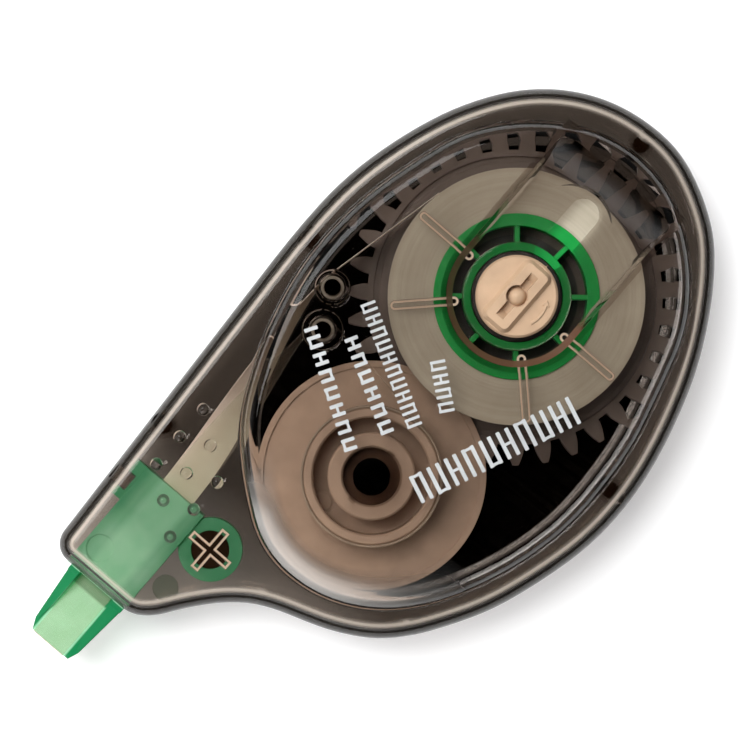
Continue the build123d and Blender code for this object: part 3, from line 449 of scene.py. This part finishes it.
def strip_tape(name, low, high, roughness, clearness=(0.0, 0.0)):
    """Thin tape or film. clearness says how much shows through it at the reels and the tip."""
    t = Tree(name)
    cloud = t.noise(500, 4)
    colour = t.blend(t.ramp(cloud, 0.3, 0.7), low, high)
    normal = t.bump(t.noise(3000, 3), 0.2, 0.01 * MM)
    shader = t.principled(Base_Color=colour, Roughness=roughness, Normal=normal)
    straight = t.add("ShaderNodeBsdfTransparent", {"Color": (0.93, 0.96, 0.93, 1.0)})
    x = t.add("ShaderNodeSeparateXYZ", {"Vector": t.place()}).outputs["X"]
    clear = t.ramp(x, -38 * MM, -46 * MM, *clearness)
    clear = t.math("MAXIMUM", clear, t.ramp(x, *BLADE_ROOT_SPAN, 0.0, max(clearness)))
    surface = t.add("ShaderNodeMixShader", {0: clear, 1: shader.outputs[0], 2: straight.outputs[0]})
    return t.finish(surface.outputs[0])


TAPE_ROLL = wound_tape()
TAPE = strip_tape("white_tape", srgb(246, 228, 210), srgb(254, 240, 224), 0.5)
FILM = strip_tape("carrier_film", srgb(250, 228, 208), srgb(255, 238, 220), 0.3, (0.03, 0.9))

NODE_MATERIALS = {
    "front_cover": SMOKE,
    "back_cover": SMOKE_BACK,
    "back_label": BLACK,
    "drive_gear": TAUPE,
    "tension_knob": BEIGE,
    "clutch_ring": RUBBER,
    "supply_core": GREEN,
    "supply_tape_roll": TAPE_ROLL,
    "take_up_reel": TAKE_UP,
    "take_up_gear": TAUPE,
    "take_up_film_roll": WOUND_FILM,
    "upper_guide_sleeve": SLEEVE,
    "lower_guide_sleeve": SLEEVE,
    "tip_head": GREEN_CLEAR,
}

for name, material in NODE_MATERIALS.items():
    node = NODES[name]
    node.data.materials.clear()
    node.data.materials.append(material)
    for polygon in node.data.polygons:
        polygon.material_index = 0


# ---------------------------------------------------------------- tape between the reels
def polar(radius, degrees):
    return Vector((math.cos(math.radians(degrees)), math.sin(math.radians(degrees)), 0)) * radius


TAPE_LOW, TAPE_HIGH = (corner.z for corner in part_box("supply_tape_roll"))
TAPE_MID = (TAPE_LOW + TAPE_HIGH) / 2
TAPE_WIDTH = TAPE_HIGH - TAPE_LOW
ROLL_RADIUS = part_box("supply_tape_roll")[1].x
FILM_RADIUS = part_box("take_up_film_roll")[1].x - JOINT_AT["take_up"].x
SLEEVE_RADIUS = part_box("upper_guide_sleeve")[1].x - JOINT_AT["upper_guide"].x
STRIP_THICKNESS = 0.06 * MM
STRIP_OFFSET = 0.06 * MM
# corners and two points along each face of the strip, in halves of its width and thickness
STRIP_RING = ((-1, -1), (-0.33, -1), (0.33, -1), (1, -1), (1, 1), (0.33, 1), (-0.33, 1), (-1, 1))


def at_tape_level(centre):
    return Vector((centre.x, centre.y, TAPE_MID))


def outer_tangent(a, radius_a, b, radius_b, side):
    """Touching points of a straight strip and two circles, and the bearing from centre to strip."""
    way = b - a
    bearing = math.degrees(math.atan2(way.y, way.x))
    lean = math.degrees(math.acos((radius_a - radius_b) / way.length))
    normal = bearing + side * lean
    return a + polar(radius_a, normal), b + polar(radius_b, normal), normal


def blend_to(start, end, share):
    return start * (1 - share) + end * share


UP = Vector((0, 0, 1))
TIP_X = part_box("tape_return_run")[0].x + 0.15 * MM
PLATEN_HALF = 0.55 * MM
FLAT_X = -41.0 * MM
BLADE_SLIM_X = TIP_X + 2.4 * MM
EDGE_HALF = 0.25 * MM


def twist_stations(start, lying, steps=40):
    """Tape that turns evenly from standing at start to lying flat at the head."""
    stations = []
    for k in range(1, steps + 1):
        share = k / steps
        smooth = share * share * (3 - 2 * share)
        turn = math.radians(90) * (0.6 * share + 0.4 * smooth)
        centre = Vector(
            (
                start.x + (lying.x - start.x) * share,
                start.y + (lying.y - start.y) * smooth,
                start.z + (lying.z - start.z) * smooth,
            )
        )
        across = Vector((0, math.sin(turn), math.cos(turn)))
        stations.append((centre, across))
    return stations


def blade_stations(side):
    """Tape along one face of platen and blade, then round half of the edge."""
    gap = STRIP_OFFSET
    points = [
        (FLAT_X - 1 * MM, PLATEN_HALF + gap),
        (BLADE_ROOT_X, PLATEN_HALF + gap),
        (BLADE_SLIM_X, PLATEN_HALF - 0.08 * MM + gap),
        (TIP_X + EDGE_HALF, EDGE_HALF + gap),
    ]
    for angle in (110, 130, 150, 165, 180):
        reach = EDGE_HALF + gap
        turn = math.radians(angle)
        points.append((TIP_X + EDGE_HALF + reach * math.cos(turn), reach * math.sin(turn)))
    return [(Vector((x, HEAD_Y, HEAD_Z + side * z)), Vector((0, 1, 0))) for x, z in points]


def ribbon(name, stations, material, body, node):
    """Closed strip through stations of (centre, direction across its width)."""
    mesh = bpy.data.meshes.new(name)
    bm = bmesh.new()
    rings = []
    centres = [centre for centre, _ in stations]
    for k, (centre, across) in enumerate(stations):
        along = (centres[min(k + 1, len(centres) - 1)] - centres[max(k - 1, 0)]).normalized()
        across = (across - along * across.dot(along)).normalized()
        normal = along.cross(across)
        across *= TAPE_WIDTH / 2
        normal *= STRIP_THICKNESS / 2
        rings.append([bm.verts.new(centre + across * u + normal * v) for u, v in STRIP_RING])
    for ring, following in zip(rings, rings[1:]):
        for k in range(len(ring)):
            j = (k + 1) % len(ring)
            bm.faces.new((ring[k], ring[j], following[j], following[k]))
    bm.faces.new(rings[0])
    bm.faces.new(list(reversed(rings[-1])))
    bmesh.ops.recalc_face_normals(bm, faces=bm.faces)
    bm.to_mesh(mesh)
    bm.free()
    mesh.materials.append(material)
    for polygon in mesh.polygons:
        polygon.use_smooth = True
    mesh.set_sharp_from_angle(angle=math.radians(35))
    piece = bpy.data.objects.new(name, mesh)
    bpy.context.scene.collection.objects.link(piece)
    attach(piece, body)
    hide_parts(node)
    return piece


def bend_stations(centre, radius, from_angle, to_angle, steps=14):
    turn = (to_angle - from_angle) / steps
    return [(centre + polar(radius, from_angle + turn * k), UP) for k in range(steps + 1)]


def feed_run():
    hub = at_tape_level(JOINT_AT["supply"])
    guide = at_tape_level(JOINT_AT["upper_guide"])
    on_roll, on_sleeve, lean = outer_tangent(
        hub, ROLL_RADIUS + STRIP_OFFSET, guide, SLEEVE_RADIUS + STRIP_OFFSET, -1
    )
    stations = [(blend_to(on_roll, on_sleeve, k / 12), UP) for k in range(12)]
    stations += bend_stations(guide, SLEEVE_RADIUS + STRIP_OFFSET, lean, 90)
    top = guide + polar(SLEEVE_RADIUS + STRIP_OFFSET, 90)
    lying = Vector((FLAT_X, HEAD_Y, HEAD_Z - PLATEN_HALF - STRIP_OFFSET))
    stations += twist_stations(top, lying)
    stations += blade_stations(-1)
    ribbon("tape_feed_ribbon", stations, TAPE, "case", "tape_feed_run")


def return_run():
    drum = at_tape_level(JOINT_AT["take_up"])
    guide = at_tape_level(JOINT_AT["lower_guide"])
    on_sleeve, on_drum, lean = outer_tangent(
        guide, SLEEVE_RADIUS + STRIP_OFFSET, drum, FILM_RADIUS + STRIP_OFFSET, 1
    )
    stations = [(blend_to(on_drum, on_sleeve, k / 12), UP) for k in range(12)]
    stations += bend_stations(guide, SLEEVE_RADIUS + STRIP_OFFSET, lean, 90)
    top = guide + polar(SLEEVE_RADIUS + STRIP_OFFSET, 90)
    lying = Vector((FLAT_X, HEAD_Y, HEAD_Z + PLATEN_HALF + STRIP_OFFSET))
    stations += twist_stations(top, lying)
    stations += blade_stations(1)
    ribbon("film_return_ribbon", stations, FILM, "case", "tape_return_run")


feed_run()
return_run()

# ---------------------------------------------------------------- printing on the front cover
# rows of plain stems joined in pairs, which spell nothing: start, end, height and number of stems
PRINT_ROWS = [
    ((-24.5, 2.5), (-17.0, 15.0), 1.5, 15),
    ((-20.5, 0.7), (-15.0, 11.0), 1.5, 12),
    ((-18.0, -1.0), (-11.0, 12.0), 1.7, 20),
    ((-14.6, -2.6), (-10.8, 2.2), 1.7, 8),
    ((-23.4, -5.2), (-5.0, -12.8), 3.2, 19),
]
PRINT_FILL = 0.42
PRINT_JOINS = (1.0, None, -1.0, None, 0.0, None)
PRINT_THICKNESS = 0.02 * MM


def bar_outline(centre, along, half_width, half_height, corner, steps=4):
    """Rounded bar as a ring of points in the plane of the cover."""
    across = Vector((-along.y, along.x, 0))
    ring = []
    for turn, u, v in ((0, 1, 1), (90, -1, 1), (180, -1, -1), (270, 1, -1)):
        pivot = centre + along * (u * (half_width - corner)) + across * (v * (half_height - corner))
        for k in range(steps + 1):
            angle = math.radians(turn + 90 * k / steps)
            ring.append(pivot + (along * math.cos(angle) + across * math.sin(angle)) * corner)
    return ring


def add_bar(bm, ring, low):
    bottom = [bm.verts.new((point.x, point.y, low)) for point in ring]
    top = [bm.verts.new((point.x, point.y, low + PRINT_THICKNESS)) for point in ring]
    bm.faces.new(list(reversed(bottom)))
    bm.faces.new(top)
    for j in range(len(ring)):
        i = (j + 1) % len(ring)
        bm.faces.new((bottom[j], bottom[i], top[i], top[j]))


def print_marks():
    bm = bmesh.new()
    low = TOP_Z + PRINT_THICKNESS / 2
    for start, end, height, count in PRINT_ROWS:
        start, end = mm(*start, 0), mm(*end, 0)
        pitch = (end - start) / count
        along = pitch.normalized()
        across = Vector((-along.y, along.x, 0))
        half_width = pitch.length * PRINT_FILL / 2
        half_height = height * MM / 2
        for k in range(count):
            centre = start + pitch * (k + 0.5)
            stem = bar_outline(centre, along, half_width, half_height, half_width * 0.4)
            add_bar(bm, stem, low)
            level = PRINT_JOINS[k % len(PRINT_JOINS)]
            if level is None or k == count - 1:
                continue
            middle = centre + pitch / 2 + across * (level * (half_height - half_width))
            half_gap = pitch.length / 2 - half_width
            bridge = bar_outline(middle, along, half_gap, half_width * 0.7, half_gap * 0.02)
            add_bar(bm, bridge, low)
    mesh = bpy.data.meshes.new("print_marks")
    bm.to_mesh(mesh)
    bm.free()
    mesh.materials.append(PRINT)
    piece = bpy.data.objects.new("print_marks", mesh)
    bpy.context.scene.collection.objects.link(piece)
    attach(piece, "case")


print_marks()

# ---------------------------------------------------------------- stage, light and camera
IMAGE_UP = Vector((0.758, 0.652, 0)).normalized()
IMAGE_RIGHT = Vector((0.652, -0.758, 0)).normalized()
VIEW_CENTRE = mm(-16.5, 6.1, 6.0)
VIEW_WIDTH = 82.3 * MM
LENS = 200.0
SENSOR = 36.0


def make_camera():
    data = bpy.data.cameras.new("camera")
    data.sensor_width = SENSOR
    data.lens = LENS
    data.clip_start = 0.01
    data.clip_end = 20.0
    camera = bpy.data.objects.new("camera", data)
    distance = VIEW_WIDTH / 2 * LENS / (SENSOR / 2)
    axes = Matrix((IMAGE_RIGHT, IMAGE_UP, UP)).transposed()
    camera.matrix_world = Matrix.Translation(VIEW_CENTRE + UP * distance) @ axes.to_4x4()
    bpy.context.scene.collection.objects.link(camera)
    bpy.context.scene.camera = camera


def make_floor():
    half = 3.0
    mesh = bpy.data.meshes.new("floor")
    corners = [(-half, -half, 0), (half, -half, 0), (half, half, 0), (-half, half, 0)]
    mesh.from_pydata(corners, [], [(0, 1, 2, 3)])
    t = Tree("floor_white")
    shader = t.principled(
        Base_Color=(0.88, 0.88, 0.88, 1.0),
        Roughness=0.9,
        Specular_IOR_Level=0.1,
        Emission_Color=(0.97, 0.98, 1.0, 1.0),
        Emission_Strength=0.35,
    )
    mesh.materials.append(t.finish(shader.outputs[0]))
    floor = bpy.data.objects.new("floor", mesh)
    floor.location.z = -0.05 * MM
    bpy.context.scene.collection.objects.link(floor)


def area_light(name, location, target, size, power, in_gloss=False):
    data = bpy.data.lights.new(name, "AREA")
    data.shape = "RECTANGLE"
    data.size, data.size_y = size
    data.energy = power
    light = bpy.data.objects.new(name, data)
    light.location = location
    light.rotation_mode = "QUATERNION"
    light.rotation_quaternion = (Vector(target) - Vector(location)).to_track_quat("-Z", "Y")
    light.visible_glossy = in_gloss
    bpy.context.scene.collection.objects.link(light)


def grey_ramp(nodes, stops):
    """Colour ramp from (position, grey level) pairs."""
    node = nodes.new("ShaderNodeValToRGB")
    elements = node.color_ramp.elements
    for k, (position, level) in enumerate(stops):
        element = elements[k] if k < len(elements) else elements.new(position)
        element.position = position
        element.color = (level, level, level, 1)
    return node


def make_world():
    """Pale studio all round, darker straight above where the camera is."""
    world = bpy.data.worlds.new("studio")
    bpy.context.scene.world = world
    world.use_nodes = True
    nodes, links = world.node_tree.nodes, world.node_tree.links
    nodes.clear()
    out = nodes.new("ShaderNodeOutputWorld")
    place = nodes.new("ShaderNodeTexCoord")
    split = nodes.new("ShaderNodeSeparateXYZ")
    path = nodes.new("ShaderNodeLightPath")
    links.new(place.outputs["Generated"], split.inputs[0])

    # the room seen through the smoke plastic is dim
    room = grey_ramp(nodes, ((0.45, 1.0), (0.85, 0.03)))
    dimmed = nodes.new("ShaderNodeMapRange")
    dimmed.inputs["To Min"].default_value = 0.5
    dimmed.inputs["To Max"].default_value = 0.08
    back = nodes.new("ShaderNodeBackground")
    links.new(split.outputs["Z"], room.inputs[0])
    links.new(room.outputs[0], back.inputs["Color"])
    links.new(path.outputs["Is Transmission Ray"], dimmed.inputs["Value"])
    links.new(dimmed.outputs[0], back.inputs["Strength"])

    # white cards, seen only in polished edges: faint all round, strong past the tip
    cards = grey_ramp(nodes, ((0.2, 0.0), (0.4, 1.0), (0.75, 1.0), (0.9, 0.0)))
    past_tip = nodes.new("ShaderNodeVectorMath")
    past_tip.operation = "DOT_PRODUCT"
    past_tip.inputs[1].default_value = (-0.99, 0.1, 0.0)
    strength = nodes.new("ShaderNodeMapRange")
    for name, value in (("From Min", 0.4), ("From Max", 0.8), ("To Min", 0.12), ("To Max", 1.4)):
        strength.inputs[name].default_value = value
    polished = nodes.new("ShaderNodeBackground")
    links.new(split.outputs["Z"], cards.inputs[0])
    links.new(cards.outputs[0], polished.inputs["Color"])
    links.new(place.outputs["Generated"], past_tip.inputs[0])
    links.new(past_tip.outputs["Value"], strength.inputs["Value"])
    links.new(strength.outputs[0], polished.inputs["Strength"])

    chosen = nodes.new("ShaderNodeMixShader")
    links.new(path.outputs["Is Glossy Ray"], chosen.inputs[0])
    links.new(back.outputs[0], chosen.inputs[1])
    links.new(polished.outputs[0], chosen.inputs[2])
    links.new(chosen.outputs[0], out.inputs["Surface"])


def light_scene():
    centre = mm(-16, 0, 5)
    towards_key = (IMAGE_UP - IMAGE_RIGHT).normalized()
    key_at = centre + towards_key * 0.28 + UP * 0.60
    glint_at = centre + towards_key * 0.30 + UP * 0.60
    left_at = centre - IMAGE_RIGHT * 0.55 - IMAGE_UP * 0.25 + UP * 0.42
    top_at = centre + IMAGE_UP * 0.6 + UP * 0.35
    area_light("key", key_at, centre, (0.42, 0.42), 3.9)
    area_light("glint", glint_at, centre, (0.3, 0.3), 0.9, in_gloss=True)
    area_light("side_left", left_at, centre, (0.45, 0.16), 1.5)
    area_light("side_top", top_at, centre, (0.5, 0.12), 0.8)


make_camera()
make_floor()
make_world()
light_scene()

scene = bpy.context.scene
scene.view_settings.view_transform = "Standard"
scene.cycles.max_bounces = 24
scene.cycles.transmission_bounces = 16
scene.cycles.transparent_max_bounces = 48
scene.cycles.diffuse_bounces = 5
scene.cycles.glossy_bounces = 6
scene.cycles.caustics_refractive = False
scene.cycles.caustics_reflective = False
